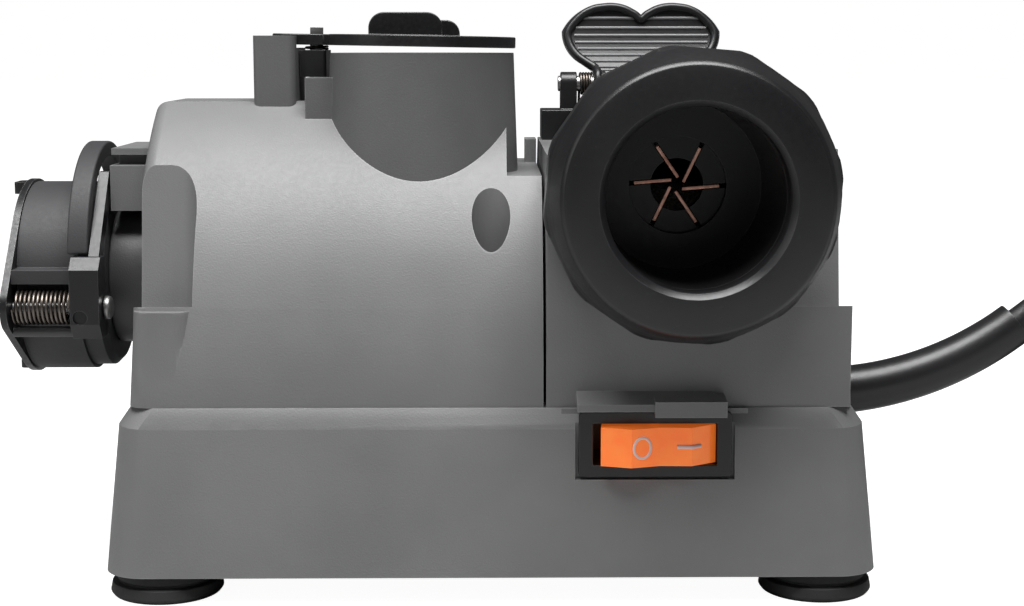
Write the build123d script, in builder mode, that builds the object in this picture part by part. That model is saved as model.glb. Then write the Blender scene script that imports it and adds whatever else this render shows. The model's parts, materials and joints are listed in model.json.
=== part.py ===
"""Electric multi-purpose sharpener: one belt-driven shaft that serves three sharpening stations.

A knife jig stands on the left end, a covered chisel turret on the top and a drill chuck with
six sliding jaws on the front of the right-hand tower.  Millimetres, +Z up, the front faces -Y.
Every place is given from the middle of the base's footprint on the floor, through spot(),
which moves it to the model's origin: the middle of the underside of the whole machine's box.
"""
import os
from math import cos, radians, sin, sqrt, tan

from build123d import *

os.makedirs("parts", exist_ok=True)

# ---- driving dimensions -------------------------------------------------------------------
base_half_width = 79.7      # at the bottom edge of the base
base_half_depth = 53.0
left_reach = 106.0          # from the middle of the base to the tip of the jig's tabs
front_reach = 68.0          # from the middle of the base to the face of the chuck ring
base_x = (left_reach - base_half_width) / 2
base_y = (front_reach - base_half_depth) / 2

foot_height = 5.7
chamfer_start = 36.0        # height where the base turns into its sloping shoulder
deck = 40.0                 # top of the base, where the two housings stand
wall = 2.4

body_half_width = 74.1      # the ears of the housings, where they meet the deck
end_x = 73.2                # the left housing's end wall
body_front = 48.0           # how far their front and rear faces stand from the middle

shaft_y = -4.0              # axis of the grinding shaft, which runs along X
shaft_z = 62.0
shaft_radius = 4.0

motor_y = 18.0
motor_z = 27.5
motor_radius = 18.5

turret_x = -15.0
turret_y = -11.0
turret_rim = 20.0
turret_top = 111.5

lid_pin_x = -39.0
lid_tilt = 1.0              # the lid droops towards its free edge
lid_height = 113.2

chuck_x = 39.5              # axis of the drill chuck, which runs along Y
chuck_z = 83.8
jaw_count = 6

clamp_y = -28.8             # pivot of the jig's sprung clamp
clamp_z = 58.0

paddle_x = 35.5
hinge_y = 17.0              # pivot of the heart-shaped paddle
hinge_z = 104.3

switch_x = 33.2
switch_z = 33.0
switch_face = -51.5         # front of the switch's bezel

cord_radius = 3.3
sleeve_y = 7.0              # where the lead leaves the right side of the base
sleeve_z = 32.8


# ---- places and planes --------------------------------------------------------------------
def spot(x, y, z):
    """A place given from the middle of the base, in the model's frame."""
    return (base_x + x, base_y + y, z)


def level(z):
    """A horizontal plane: sketches on it read (x, y) and extrude upwards."""
    return Plane(origin=spot(0, 0, z), x_dir=(1, 0, 0), z_dir=(0, 0, 1))


def facing(y):
    """An upright plane: sketches on it read (x, z) and extrude to the front."""
    return Plane(origin=spot(0, y, 0), x_dir=(1, 0, 0), z_dir=(0, -1, 0))


def across(x):
    """An upright plane: sketches on it read (y, z) and extrude to the right."""
    return Plane(origin=spot(x, 0, 0), x_dir=(0, 1, 0), z_dir=(1, 0, 0))


def stack(sections, mode=Mode.ADD):
    """Rounded rectangles, one above another: (height, half width, half depth, corner)."""
    outlines = []
    for height, half_width, half_depth, corner in sections:
        with BuildSketch(level(height)) as outline:
            RectangleRounded(2 * half_width, 2 * half_depth, corner)
        outlines.append(outline.sketch.face())
    loft(outlines, ruled=True, mode=mode)


def block(x_range, y_range, z_range, mode=Mode.ADD):
    """A box between two corners."""
    x_middle = (x_range[0] + x_range[1]) / 2
    y_middle = (y_range[0] + y_range[1]) / 2
    with BuildSketch(level(z_range[0])) as outline:
        with Locations((x_middle, y_middle)):
            Rectangle(x_range[1] - x_range[0], y_range[1] - y_range[0])
    extrude(outline.sketch, amount=z_range[1] - z_range[0], mode=mode)


def rod_x(y, z, radius, x_range, mode=Mode.ADD):
    """A round bar along X."""
    with BuildSketch(across(x_range[0])) as outline:
        with Locations((y, z)):
            Circle(radius)
    extrude(outline.sketch, amount=x_range[1] - x_range[0], mode=mode)


def rod_y(x, z, radius, y_range, mode=Mode.ADD):
    """A round bar along Y."""
    with BuildSketch(facing(y_range[1])) as outline:
        with Locations((x, z)):
            Circle(radius)
    extrude(outline.sketch, amount=y_range[1] - y_range[0], mode=mode)


def rod_z(x, y, radius, z_range, mode=Mode.ADD):
    """A round bar along Z."""
    with BuildSketch(level(z_range[0])) as outline:
        with Locations((x, y)):
            Circle(radius)
    extrude(outline.sketch, amount=z_range[1] - z_range[0], mode=mode)


# ---- screw places, shared by the base, the housings and the screws ------------------------
ear_x = 67.0
ear_y = 40.0
ear_top = 59.5
ear_floor = 54.5            # bottom of the counterbore in each ear
middle_front = -37.0        # the two deep screws in the middle of the left housing
middle_back = 43.0
middle_floor = 46.0
ear_top_x = 72.9            # outer sides of each ear at its top
ear_top_y = 47.4
ear_inner_x = 60.8
ear_inner_y = 34.0
screw_head = 3.6
screw_radius = 1.9
corner_screws = [(x, y) for x in (-ear_x, ear_x) for y in (-ear_y, ear_y)]
middle_screws = [(0.0, middle_front), (0.0, middle_back)]

# ---- base ---------------------------------------------------------------------------------
shoulder_width = 76.8       # half sizes where the sloping shoulder starts
shoulder_depth = 50.6
lip = 6.0                   # width of the flange that carries the housings
pocket_half_width = 16.2    # recess for the switch
pocket_floor = -49.9

with BuildPart() as base_shell:
    stack([
        (foot_height, base_half_width, base_half_depth, 9),
        (chamfer_start, shoulder_width, shoulder_depth, 8.5),
        (deck, body_half_width, body_front + 0.4, 7.5),
    ])
    stack([
        (foot_height, base_half_width - wall, base_half_depth - wall, 7),
        (chamfer_start, shoulder_width - wall, shoulder_depth - wall, 6.5),
        (deck - wall, 72.4, 46.8, 5.8),
    ], mode=Mode.SUBTRACT)
    block((-body_half_width + lip, body_half_width - lip), (-42.4, 42.4),
          (deck - 3, deck + 1), mode=Mode.SUBTRACT)
    for x, y in corner_screws + middle_screws:
        rod_z(x, y, 5.0, (13.0, deck))
    block((switch_x - 19, switch_x + 19), (-49.0, -45.5), (22.5, deck))
    block((switch_x - pocket_half_width, switch_x + pocket_half_width),
          (-60, pocket_floor), (25.7, deck + 1), mode=Mode.SUBTRACT)
    block((switch_x - 14.2, switch_x + 14.2), (-60, -40), (27.0, deck - 1.2), mode=Mode.SUBTRACT)
    for x, y in corner_screws + middle_screws:
        rod_z(x, y, screw_radius + 0.05, (12.0, deck + 1), mode=Mode.SUBTRACT)
    rod_x(sleeve_y, sleeve_z, 5.7, (60, 90), mode=Mode.SUBTRACT)
base_shell.part.label = "base_shell"
export_step(base_shell.part, "parts/base_shell.step")

foot_spots = [(x, y) for x in (-67.9, 67.9) for y in (-41.4, 41.4)]
cover_top = foot_height + 2.6

with BuildPart() as bottom_cover:
    with BuildSketch(level(foot_height)):
        RectangleRounded(2 * (base_half_width - 3), 2 * (base_half_depth - 3), 7)
        with Locations((-30, 22), (10, 22)):
            with GridLocations(0, 5, 1, 4):
                SlotOverall(26, 2.2, mode=Mode.SUBTRACT)
    extrude(amount=cover_top - foot_height)
    for x, y in foot_spots:
        rod_z(x, y, 3.4, (cover_top, 12.6))
        rod_z(x, y, 1.55, (0, 20), mode=Mode.SUBTRACT)
bottom_cover.part.label = "bottom_cover"
export_step(bottom_cover.part, "parts/bottom_cover.step")

with BuildPart() as rubber_feet:
    for x, y in foot_spots:
        with BuildSketch(Plane(origin=spot(x, y, 0), x_dir=(1, 0, 0), z_dir=(0, -1, 0))):
            with BuildLine():
                Polyline((1.7, 0), (11.0, 0), (11.7, 0.9), (11.3, 2.9), (10.0, 3.1), (10.0, 3.5),
                         (10.4, 3.7), (10.1, foot_height), (1.7, foot_height), (1.7, 0))
            make_face()
            with Locations((1.7, 1.25)):
                Rectangle(3.6, 2.5, align=(Align.CENTER, Align.CENTER), mode=Mode.SUBTRACT)
        revolve(axis=Axis(spot(x, y, 0), (0, 0, 1)))
rubber_feet.part.label = "rubber_feet"
export_step(rubber_feet.part, "parts/rubber_feet.step")

with BuildPart() as foot_screws:
    for x, y in foot_spots:
        rod_z(x, y, 3.2, (0.9, 2.5))
        rod_z(x, y, 1.5, (2.5, 12.0))
foot_screws.part.label = "foot_screws"
export_step(foot_screws.part, "parts/foot_screws.step")

with BuildPart() as housing_screws:
    for x, y in corner_screws:
        rod_z(x, y, screw_head, (ear_floor, ear_floor + 2.4))
        rod_z(x, y, screw_radius, (deck - 12, ear_floor))
        with BuildSketch(level(ear_floor + 1.2)):
            with Locations((x, y)):
                Rectangle(4.2, 0.9)
                Rectangle(0.9, 4.2)
        extrude(amount=3, mode=Mode.SUBTRACT)
    for x, y in middle_screws:
        rod_z(x, y, screw_head, (middle_floor, middle_floor + 2.4))
        rod_z(x, y, screw_radius, (deck - 12, middle_floor))
housing_screws.part.label = "housing_screws"
export_step(housing_screws.part, "parts/housing_screws.step")

# ---- left housing: an arched shell over the shaft ------------------------------------------
arch_radius = 68.0
arch_offset = 20.0          # how far each arc's centre lies beyond the middle
arch_spring = 41.0          # height of the arcs' centres
crest = 101.0               # the flat top between the two arcs
scoop_radius = 6.2
ledge = 86.0                # the low strip beside the drill tower
ledge_x = 3.3


def arch_face(inset):
    """Half-barrel profile seen from the side: two arcs and a flat crest, drawn in (y, z)."""
    radius = arch_radius - inset
    top = crest - inset
    crease = sqrt(radius ** 2 - (top - arch_spring) ** 2) - arch_offset
    foot = radius - arch_offset
    middle = radians(38)
    with BuildLine() as outline:
        right = ThreePointArc(
            (foot, arch_spring),
            (radius * cos(middle) - arch_offset, arch_spring + radius * sin(middle)),
            (crease, top),
        )
        Line(right @ 1, (-crease, top))
        ThreePointArc(
            (-crease, top),
            (arch_offset - radius * cos(middle), arch_spring + radius * sin(middle)),
            (-foot, arch_spring),
        )
        Polyline((-foot, arch_spring), (-foot, deck), (foot, deck), (foot, arch_spring))
    make_face(outline.edges())


def turret_cone(radius_step, z_range, mode):
    """The turret's outer cone, grown or shrunk by a step."""
    slope = tan(radians(2.0))
    outlines = []
    for z in z_range:
        with BuildSketch(level(z)) as outline:
            with Locations((turret_x, turret_y)):
                Circle(turret_rim + radius_step + (turret_top - z) * slope)
        outlines.append(outline.sketch.face())
    loft(outlines, mode=mode)


def scoop(side_x, side_y, grow=0.0):
    """The clearance above an ear: a leaning half-round channel, open to the end and the face."""
    outward = 1 if side_x > 0 else -1
    lean = radians(9.4)
    direction = (0, -sin(lean) * (1 if side_y > 0 else -1), cos(lean))
    plane = Plane(origin=spot(side_x, side_y, ear_top), x_dir=(1, 0, 0), z_dir=direction)
    toward_face = 1 if side_y > 0 else -1
    with BuildSketch(plane) as outline:
        Circle(scoop_radius + grow)
        with Locations((outward * 7, 0)):
            Rectangle(14, 2 * (scoop_radius + grow))
        with Locations((outward * 4, toward_face * 8)):
            Rectangle(2 * (4 + scoop_radius + grow), 16)
    extrude(outline.sketch, amount=45, mode=Mode.SUBTRACT)


def ear(side_x, side_y):
    """A corner block that carries one screw, slightly narrower at its top."""
    outlines = []
    for z, outer, face in ((deck, body_half_width, body_front), (ear_top, ear_top_x, ear_top_y)):
        with BuildSketch(level(z)) as outline:
            with Locations((side_x * (outer + ear_inner_x) / 2, side_y * (face + ear_inner_y) / 2)):
                RectangleRounded(outer - ear_inner_x, face - ear_inner_y, 4)
        outlines.append(outline.sketch.face())
    loft(outlines, ruled=True)


shell = 2.6                 # wall of both housings
end_round = 3.0             # rounding along the housings' outer ends
end_inner = -end_x + shell
left_end = 10.6             # right-hand edge of the left housing's low strip

with BuildPart() as left_cavity:
    with BuildSketch(across(end_inner)):
        arch_face(shell)
    extrude(amount=left_end + 1 - end_inner)
    block((ledge_x - shell, 20), (-60, 60), (ledge - shell, 120), mode=Mode.SUBTRACT)
    for x, y in middle_screws:
        rod_z(x, y, 6.4, (deck - 1, crest), mode=Mode.SUBTRACT)
    for y in (-ear_y, ear_y):
        scoop(-ear_x, y, grow=shell)

boss_x = (-40.0, -33.0)     # the turret's side step that carries the lid's pivot
boss_y = (-18.0, 8.0)
boss_top = 106.2
post_x = (-51.6, -42.4)
post_y = (-14.0, 10.0)
post_top = 115.2            # its front wall; behind it the post steps down under the lid's tail
step_top = 112.6

with BuildPart() as left_housing:
    with BuildSketch(across(-end_x)):
        arch_face(0)
    extrude(amount=left_end + end_x)
    end_edges = left_housing.faces().sort_by(Axis.X)[0].edges()
    fillet(end_edges.filter_by(lambda edge: edge.center().Z > deck + 0.1), end_round)
    block((ledge_x, 20), (-60, 60), (ledge, 120), mode=Mode.SUBTRACT)
    add(left_cavity.part, mode=Mode.SUBTRACT)
    for side in (-1, 1):
        ear(-1, side)
    block((-82.3, -72), (-18, 12), (77.6, 87.4))
    block((-81.5, -72), (-12, 12), (87.4, 89.6))
    block((-82.3, -72), (-16, 12), (89.6, 91.0))
    with BuildSketch(level(crest - 6)):
        with Locations(((post_x[0] + post_x[1]) / 2, (post_y[0] + post_y[1]) / 2)):
            RectangleRounded(post_x[1] - post_x[0], post_y[1] - post_y[0], 1.6)
    extrude(amount=post_top - crest + 6)
    block(post_x, (post_y[0] + 3.4, post_y[1] + 1), (step_top, post_top + 1), mode=Mode.SUBTRACT)
    block((8.0, left_end), (15, 25), (ledge - 2, 91.4))
    for y in (-ear_y, ear_y):
        scoop(-ear_x, y)
    turret_cone(0, (78, 112), Mode.SUBTRACT)
    block(boss_x, boss_y, (84, 120), mode=Mode.SUBTRACT)
    for x, y in corner_screws:
        rod_z(x, y, 3.95, (ear_floor, ear_top + 1), mode=Mode.SUBTRACT)
        rod_z(x, y, screw_radius + 0.2, (deck - 1, ear_top), mode=Mode.SUBTRACT)
    for x, y in middle_screws:
        rod_z(x, y, 4.0, (middle_floor, crest), mode=Mode.SUBTRACT)
        rod_z(x, y, screw_radius + 0.2, (deck - 1, middle_floor), mode=Mode.SUBTRACT)
    rod_x(shaft_y, shaft_z, 7.0, (-76, -70), mode=Mode.SUBTRACT)
left_housing.part.label = "left_housing"
export_step(left_housing.part, "parts/left_housing.step")

# ---- drill tower: the right-hand housing, with a barrel roof over the chuck ----------------
tower_x = (11.2, 73.2)
roof_spring = 80.0
roof_top = 108.4
barrel_back = 8.0
tower_top = 91.4
nose_radius = 21.9          # the fixed collar that the chuck ring turns on
throat_radius = 19.4        # the chuck's body where it passes through the tower's front
scoop_wall = 1.6


def barrel_face(inset):
    """The tower seen from the front: upright sides under a round roof, drawn in (x, z)."""
    left = tower_x[0] + inset
    right = tower_x[1] - inset
    with BuildLine() as outline:
        ThreePointArc((right, roof_spring), ((left + right) / 2, roof_top - inset),
                      (left, roof_spring))
        Polyline((left, roof_spring), (left, deck), (right, deck), (right, roof_spring))
    make_face(outline.edges())


def tower_side(inset):
    """The tower seen from the side: upright front, flat top and arched back, in (y, z)."""
    radius = arch_radius - inset
    top = tower_top - inset
    crease = sqrt(radius ** 2 - (top - arch_spring) ** 2) - arch_offset
    foot = radius - arch_offset
    middle = radians(25)
    with BuildLine() as outline:
        ThreePointArc(
            (foot, arch_spring),
            (radius * cos(middle) - arch_offset, arch_spring + radius * sin(middle)),
            (crease, top),
        )
        Polyline((crease, top), (inset - body_front, top), (inset - body_front, deck),
                 (foot, deck), (foot, arch_spring))
    make_face(outline.edges())


with BuildPart() as tower_cavity:
    with BuildSketch(across(tower_x[0] + shell)):
        tower_side(shell)
    extrude(amount=tower_x[1] - tower_x[0] - 2 * shell)
    with BuildSketch(facing(barrel_back - shell)):
        barrel_face(shell)
    extrude(amount=barrel_back + body_front - 2 * shell)
    for y in (-ear_y, ear_y):
        scoop(ear_x, y, grow=scoop_wall)

with BuildPart() as drill_tower:
    with BuildSketch(across(tower_x[0])):
        tower_side(0)
    extrude(amount=tower_x[1] - tower_x[0])
    end_edges = drill_tower.faces().sort_by(Axis.X)[-1].edges()
    fillet(end_edges.filter_by(lambda edge: edge.center().Y > 8 and edge.center().Z > deck + 0.1),
           end_round)
    with BuildSketch(facing(barrel_back)):
        barrel_face(0)
    extrude(amount=barrel_back + body_front)
    add(tower_cavity.part, mode=Mode.SUBTRACT)
    for side in (-1, 1):
        ear(1, side)
    with BuildSketch(across(17.3)):
        with BuildLine():
            Polyline((-46, 43.4), (-48, 43.4), (-53.4, 41.6), (-53.6, 40.1), (-48, 41.0),
                     (-46, 41.0), (-46, 43.4))
        make_face()
    extrude(amount=27.9)
    with BuildSketch(across(32.9)):
        with BuildLine():
            Polyline((-48, 43.0), (-54, 42.2), (-54, 39.0), (-52.0, 39.0), (-51.9, 40.4),
                     (-48, 41.0), (-48, 43.0))
        make_face()
    extrude(amount=14.5)
    for y in (-ear_y, ear_y):
        scoop(ear_x, y)
    for x, y in corner_screws:
        rod_z(x, y, 3.95, (ear_floor, ear_top + 1), mode=Mode.SUBTRACT)
        rod_z(x, y, screw_radius + 0.2, (deck - 1, ear_top), mode=Mode.SUBTRACT)
    rod_y(chuck_x, chuck_z, throat_radius, (-body_front - 1, -body_front + 4), mode=Mode.SUBTRACT)
    rod_x(shaft_y, shaft_z, 13.0, (8, 15), mode=Mode.SUBTRACT)
drill_tower.part.label = "drill_tower"
export_step(drill_tower.part, "parts/drill_tower.step")

# ---- switch -------------------------------------------------------------------------------
bezel_half = (15.5, 6.7)
window = (25.2, 8.6)
rocker_pivot_y = -47.5
rocker_tilt = 8.0
trunnion = 1.2

with BuildPart() as switch_frame:
    with BuildSketch(facing(pocket_floor)):
        with Locations((switch_x, switch_z)):
            RectangleRounded(2 * bezel_half[0], 2 * bezel_half[1], 0.9)
    extrude(amount=pocket_floor - switch_face)
    with BuildSketch(facing(-33)):
        with Locations((switch_x, switch_z)):
            Rectangle(28, 11.6)
    extrude(amount=-33 - pocket_floor)
    with BuildSketch(facing(-36)):
        with Locations((switch_x, switch_z)):
            Rectangle(*window)
    extrude(amount=20, mode=Mode.SUBTRACT)
    rod_z(switch_x, rocker_pivot_y, trunnion + 0.05, (switch_z - 5.3, switch_z + 5.3),
          mode=Mode.SUBTRACT)
switch_frame.part.label = "switch_frame"
export_step(switch_frame.part, "parts/switch_frame.step")

with BuildPart() as switch_rocker:
    pivot = Plane(origin=spot(switch_x, rocker_pivot_y, switch_z - 3.95), z_dir=(0, 0, 1))
    with BuildSketch(pivot.rotated((0, 0, rocker_tilt))):
        with BuildLine():
            Polyline((-11.9, -4.4), (-6.2, -7.3), (0, -6.1), (6.2, -7.3), (11.9, -4.4),
                     (10.4, 2.0), (-10.4, 2.0), (-11.9, -4.4))
        make_face()
    extrude(amount=7.9)
    rod_z(switch_x, rocker_pivot_y, trunnion, (switch_z - 5.2, switch_z + 5.2))
switch_rocker.part.label = "switch_rocker"
export_step(switch_rocker.part, "parts/switch_rocker.step")

with BuildPart() as switch_terminals:
    for x in (-6, 6):
        block((switch_x + x - 2.4, switch_x + x + 2.4), (-33, -25), (switch_z - 0.4, switch_z + 0.4))
switch_terminals.part.label = "switch_terminals"
export_step(switch_terminals.part, "parts/switch_terminals.step")

# ---- grinding shaft, its frame and bearings -------------------------------------------------
bearing_x = (-63.0, 4.0, 58.0)      # left faces of the three bearings
bearing_width = 7.0
bearing_radius = 11.0
shaft_ends = (-98.6, 66.8)

with BuildPart() as bearing_frame:
    block((-64, 66.5), (-18, 3), (cover_top, cover_top + 2.2))
    for x in bearing_x:
        rod_x(shaft_y, shaft_z, bearing_radius + 3, (x, x + bearing_width))
        block((x, x + bearing_width), (shaft_y - 9, shaft_y + 5.5), (cover_top, shaft_z))
    for x in bearing_x:
        rod_x(shaft_y, shaft_z, bearing_radius, (x - 1, x + bearing_width + 1), mode=Mode.SUBTRACT)
bearing_frame.part.label = "bearing_frame"
export_step(bearing_frame.part, "parts/bearing_frame.step")

with BuildPart() as shaft_bearings:
    for x in bearing_x:
        with BuildSketch(across(x)):
            with Locations((shaft_y, shaft_z)):
                Circle(bearing_radius)
                Circle(shaft_radius + 0.03, mode=Mode.SUBTRACT)
        extrude(amount=bearing_width)
shaft_bearings.part.label = "shaft_bearings"
export_step(shaft_bearings.part, "parts/shaft_bearings.step")

with BuildPart() as main_shaft:
    rod_x(shaft_y, shaft_z, shaft_radius, shaft_ends)
main_shaft.part.label = "main_shaft"
export_step(main_shaft.part, "parts/main_shaft.step")

wheels = {                  # radius and reach along the shaft of each grinding wheel
    "knife_wheel": (17.4, (-97.0, -88.6)),
    "turret_wheel": (21.0, (-21.0, -9.0)),
    "drill_wheel": (21.6, (33.0, 46.0)),
}
for wheel_name, (wheel_radius, reach) in wheels.items():
    with BuildPart() as wheel:
        with BuildSketch(across(reach[0])):
            with Locations((shaft_y, shaft_z)):
                Circle(wheel_radius)
                Circle(shaft_radius, mode=Mode.SUBTRACT)
        extrude(amount=reach[1] - reach[0])
    wheel.part.label = wheel_name
    export_step(wheel.part, f"parts/{wheel_name}.step")

with BuildPart() as wheel_flanges:
    for wheel_radius, reach in wheels.values():
        for x in (reach[0] - 1.5, reach[1]):
            with BuildSketch(across(x)):
                with Locations((shaft_y, shaft_z)):
                    Circle(7.5)
                    Circle(shaft_radius, mode=Mode.SUBTRACT)
            extrude(amount=1.5)
wheel_flanges.part.label = "wheel_flanges"
export_step(wheel_flanges.part, "parts/wheel_flanges.step")

pulley_x = (-55.0, -46.0)
pulley_rim = 1.1
belt_x = (-53.7, -47.3)
belt_thickness = 1.5
shaft_pulley_radius = 12.0
motor_pulley_radius = 8.0


def pulley(y, z, radius, bore):
    """A flat belt pulley with a rim on each side."""
    rod_x(y, z, radius, pulley_x)
    rod_x(y, z, radius + 2.2, (pulley_x[0], pulley_x[0] + pulley_rim))
    rod_x(y, z, radius + 2.2, (pulley_x[1] - pulley_rim, pulley_x[1]))
    rod_x(y, z, bore, (pulley_x[0] - 1, pulley_x[1] + 1), mode=Mode.SUBTRACT)


with BuildPart() as shaft_pulley:
    pulley(shaft_y, shaft_z, shaft_pulley_radius, shaft_radius)
shaft_pulley.part.label = "shaft_pulley"
export_step(shaft_pulley.part, "parts/shaft_pulley.step")

with BuildPart() as drive_belt:
    for step, mode in ((belt_thickness + 0.06, Mode.ADD), (0.06, Mode.SUBTRACT)):
        with BuildSketch(across(belt_x[0])):
            with Locations((shaft_y, shaft_z)):
                Circle(shaft_pulley_radius + step)
            with Locations((motor_y, motor_z)):
                Circle(motor_pulley_radius + step)
            make_hull()
        extrude(amount=belt_x[1] - belt_x[0], mode=mode)
drive_belt.part.label = "drive_belt"
export_step(drive_belt.part, "parts/drive_belt.step")

# ---- motor --------------------------------------------------------------------------------
can_x = (-40.5, 2.5)
motor_shaft_radius = 2.5

with BuildPart() as motor_can:
    rod_x(motor_y, motor_z, motor_radius, can_x)
    rod_x(motor_y, motor_z, motor_radius - 1.4, (can_x[0] - 1, can_x[1] - 1.4), mode=Mode.SUBTRACT)
    rod_x(motor_y, motor_z, motor_shaft_radius + 0.05, (-5, 20), mode=Mode.SUBTRACT)
motor_can.part.label = "motor_can"
export_step(motor_can.part, "parts/motor_can.step")

with BuildPart() as motor_end_cap:
    rod_x(motor_y, motor_z, motor_radius, (-44, can_x[0]))
    rod_x(motor_y, motor_z, 6.0, (-45.5, -44))
    rod_x(motor_y, motor_z, motor_shaft_radius + 0.05, (-50, 0), mode=Mode.SUBTRACT)
motor_end_cap.part.label = "motor_end_cap"
export_step(motor_end_cap.part, "parts/motor_end_cap.step")

with BuildPart() as motor_magnets:
    with BuildSketch(across(-35)):
        with Locations((motor_y, motor_z)):
            Circle(motor_radius - 1.4)
            Circle(13.2, mode=Mode.SUBTRACT)
            Rectangle(50, 9, mode=Mode.SUBTRACT)
    extrude(amount=32)
motor_magnets.part.label = "motor_magnets"
export_step(motor_magnets.part, "parts/motor_magnets.step")

with BuildPart() as motor_shaft:
    rod_x(motor_y, motor_z, motor_shaft_radius, (-55.5, 3.5))
motor_shaft.part.label = "motor_shaft"
export_step(motor_shaft.part, "parts/motor_shaft.step")

with BuildPart() as motor_rotor:
    with BuildSketch(across(-34)):
        with Locations((motor_y, motor_z)):
            Circle(12.6)
            Circle(motor_shaft_radius, mode=Mode.SUBTRACT)
            with PolarLocations(10.4, 5):
                SlotOverall(5.0, 1.6, mode=Mode.SUBTRACT)
    extrude(amount=30)
motor_rotor.part.label = "motor_rotor"
export_step(motor_rotor.part, "parts/motor_rotor.step")

with BuildPart() as motor_pulley:
    pulley(motor_y, motor_z, motor_pulley_radius, motor_shaft_radius)
motor_pulley.part.label = "motor_pulley"
export_step(motor_pulley.part, "parts/motor_pulley.step")

# ---- turret and its swinging lid -----------------------------------------------------------
turret_bore = 18.0
wheel_gap = 22.5            # the turret's lower edge stays this far from the shaft's axis
lid_pin_y = 0.0
lid_thickness = 2.4
bracket_top = 112.1
lid_pin_radius = 1.5
lid_lean = radians(lid_tilt)
lid_normal = (sin(lid_lean), 0, cos(lid_lean))
lid_plane = Plane(origin=spot(lid_pin_x, lid_pin_y, lid_height),
                  x_dir=(cos(lid_lean), 0, -sin(lid_lean)), z_dir=lid_normal)

with BuildPart() as turret:
    turret_cone(0, (80, turret_top), Mode.ADD)
    block(boss_x, boss_y, (90, boss_top))
    rod_z(turret_x, turret_y, turret_bore, (70, 120), mode=Mode.SUBTRACT)
    rod_x(shaft_y, shaft_z, wheel_gap, (-60, 20), mode=Mode.SUBTRACT)
    with BuildSketch(lid_plane):
        Circle(lid_pin_radius + 0.05)
    extrude(amount=-14, mode=Mode.SUBTRACT)
turret.part.label = "turret"
export_step(turret.part, "parts/turret.step")

with BuildPart() as lid_bracket:
    block((-42.2, -36.3), (-7, 6), (boss_top, bracket_top))
    with BuildSketch(lid_plane):
        Circle(lid_pin_radius + 0.05)
    extrude(amount=-14, mode=Mode.SUBTRACT)
    fillet(lid_bracket.edges().filter_by(Axis.Z).group_by(Axis.X)[-1], 0.8)
lid_bracket.part.label = "lid_bracket"
export_step(lid_bracket.part, "parts/lid_bracket.step")

disc_x = turret_x - lid_pin_x
disc_y = turret_y - lid_pin_y


def lid_fin(x_range, y_range, top, corner):
    """An upright finger fin that grows out of the lid, with two rounded top corners."""
    root = lid_height + 0.4
    with BuildSketch(facing(y_range[1])) as outline:
        with Locations(((x_range[0] + x_range[1]) / 2, root)):
            Rectangle(x_range[1] - x_range[0], top - root, align=(Align.CENTER, Align.MIN))
        fillet(outline.vertices().group_by(Axis.Y)[-1], corner)
    extrude(outline.sketch, amount=y_range[1] - y_range[0])


with BuildPart() as turret_lid:
    with BuildSketch(lid_plane):
        with Locations((disc_x, disc_y)):
            Circle(20.4)
        with Locations((-1, 0)):
            RectangleRounded(17, 12, 3)
        with BuildLine():
            Polyline((2, 6), (2, -6), (disc_x, disc_y - 20.2), (disc_x, disc_y + 20.2), (2, 6))
        make_face()
        Circle(lid_pin_radius + 0.05, mode=Mode.SUBTRACT)
    extrude(amount=lid_thickness)
    lid_fin((-26.4, -10.4), (-15.5, -13.5), 120.2, 3.4)
    lid_fin((-21.0, -6.8), (-8.5, -6.5), 118.6, 3.0)
turret_lid.part.label = "turret_lid"
export_step(turret_lid.part, "parts/turret_lid.step")

with BuildPart() as lid_pin:
    with BuildSketch(lid_plane.offset(lid_thickness)):
        Rectangle(2.7, 2.7)
    extrude(amount=1.5)
    with BuildSketch(lid_plane.offset(lid_thickness)):
        Circle(lid_pin_radius)
    extrude(amount=-12.5)
lid_pin.part.label = "lid_pin"
export_step(lid_pin.part, "parts/lid_pin.step")

with BuildPart() as lid_spring:
    with BuildSketch(Plane(origin=spot(lid_pin_x, lid_pin_y, bracket_top + 0.1))):
        Circle(2.9)
        Circle(2.0, mode=Mode.SUBTRACT)
    extrude(amount=0.8)
lid_spring.part.label = "lid_spring"
export_step(lid_spring.part, "parts/lid_spring.step")

# ---- knife jig on the left end --------------------------------------------------------------
drum_radius = 21.0
drum_rim = 20.2             # the narrower band beside the clamp
drum_bore = 18.6
plate_x = (-103.0, -101.5)
drum_x = (plate_x[1], -83.2)
band_x = -88.5
arch_z = 66.5               # centre height of the guard hoop
clamp_x = (-88.3, -82.1)
lever_x = (-84.9, -82.7)

with BuildPart() as jig_hub:
    with BuildSketch(across(drum_x[1])):
        with Locations((shaft_y, shaft_z)):
            Circle(15.1)
            Circle(8.0, mode=Mode.SUBTRACT)
    extrude(amount=-body_half_width - drum_x[1])
jig_hub.part.label = "jig_hub"
export_step(jig_hub.part, "parts/jig_hub.step")

with BuildPart() as jig_drum:
    rod_x(shaft_y, shaft_z, drum_radius, (drum_x[0], band_x))
    rod_x(shaft_y, shaft_z, drum_rim, (band_x, drum_x[1]))
    chamfer(jig_drum.edges().filter_by(GeomType.CIRCLE).sort_by(Axis.X)[-1], 1.4)
    block((drum_x[0], band_x - 0.1), (-29.5, -20), (63.0, 66.0))
    rod_x(shaft_y, shaft_z, drum_bore, (drum_x[0] - 1, -86.2), mode=Mode.SUBTRACT)
    rod_x(shaft_y, shaft_z, 8.0, (-90, -80), mode=Mode.SUBTRACT)
    block((-97, -89), (2, 30), (66, 90), mode=Mode.SUBTRACT)
jig_drum.part.label = "jig_drum"
export_step(jig_drum.part, "parts/jig_drum.step")

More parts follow.
